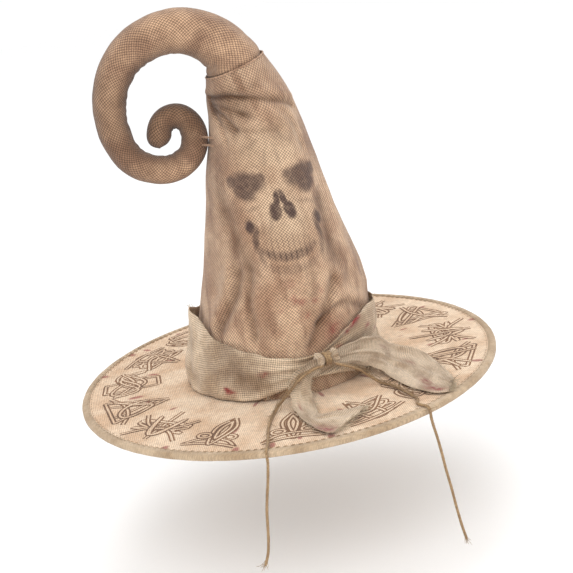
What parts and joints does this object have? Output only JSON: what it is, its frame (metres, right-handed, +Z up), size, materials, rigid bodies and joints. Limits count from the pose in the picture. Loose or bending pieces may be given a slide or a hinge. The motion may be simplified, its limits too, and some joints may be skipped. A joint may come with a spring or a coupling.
{
  "type": "witch hat",
  "caption": "Crooked witch's costume hat with a stuffed spiral curl, printed cone and flat wired brim, a gauze band and hanging jute twine tails.",
  "frame": {"origin": "centre of the head opening, at the level of the brim's lower face", "axes": "+Z up along the cone; -Y out of the printed front; +X to the right of someone who looks at the front; the curl turns towards -X"},
  "size_m": [0.4399, 0.44, 0.5341],
  "materials": {
    "sackcloth": "coarse plain-woven polyester sackcloth with a brown airbrushed print",
    "curl_cloth": "the same sackcloth, printed darker towards the tip",
    "lining": "plain-woven polyester lining",
    "stuffing": "loose polyester fibre",
    "foam": "thin polyether foam sheet",
    "wire": "galvanised wire",
    "binding": "woven bias tape",
    "thread": "spun polyester thread",
    "sweatband": "woven grosgrain tape",
    "gauze": "loosely woven linen-look gauze with dark red stains",
    "jute": "twisted jute"
  },
  "bodies": {
    "root": {"crown_shell": "sackcloth", "brim_top": "sackcloth", "curl_skin": "curl_cloth", "curl_seam": "curl_cloth", "crown_back_seam": "curl_cloth", "crown_lining": "lining", "brim_underside": "lining", "crown_seam_tape": "lining", "curl_filling": "stuffing", "brim_core": "foam", "curl_wire": "wire", "brim_wire": "wire", "brim_binding": "binding", "curl_tack": "thread", "brim_stitching": "thread", "sweatband_stitching": "thread", "band_tacks": "thread", "sweatband": "sweatband", "hat_band": "gauze", "band_gather": "gauze", "side_tail": "gauze", "front_tail": "gauze", "twine_wrap": "jute", "twine_left_lay": "jute", "twine_right_lay": "jute"},
    "left_tail": {"twine_left_drop": "jute"},
    "right_tail": {"twine_right_drop": "jute"}
  },
  "joints": [
    {"name": "left_tail_swing", "type": "hinge", "parent": "root", "child": "left_tail", "pos_m": [-0.06093, -0.21389, -0.0015], "axis": [-0.9617, 0.274, 0], "range_deg": [-25, 70]},
    {"name": "right_tail_swing", "type": "hinge", "parent": "root", "child": "right_tail", "pos_m": [0.09854, -0.19938, -0.0015], "axis": [-0.8965, -0.4431, 0], "range_deg": [-25, 70]}
  ]
}
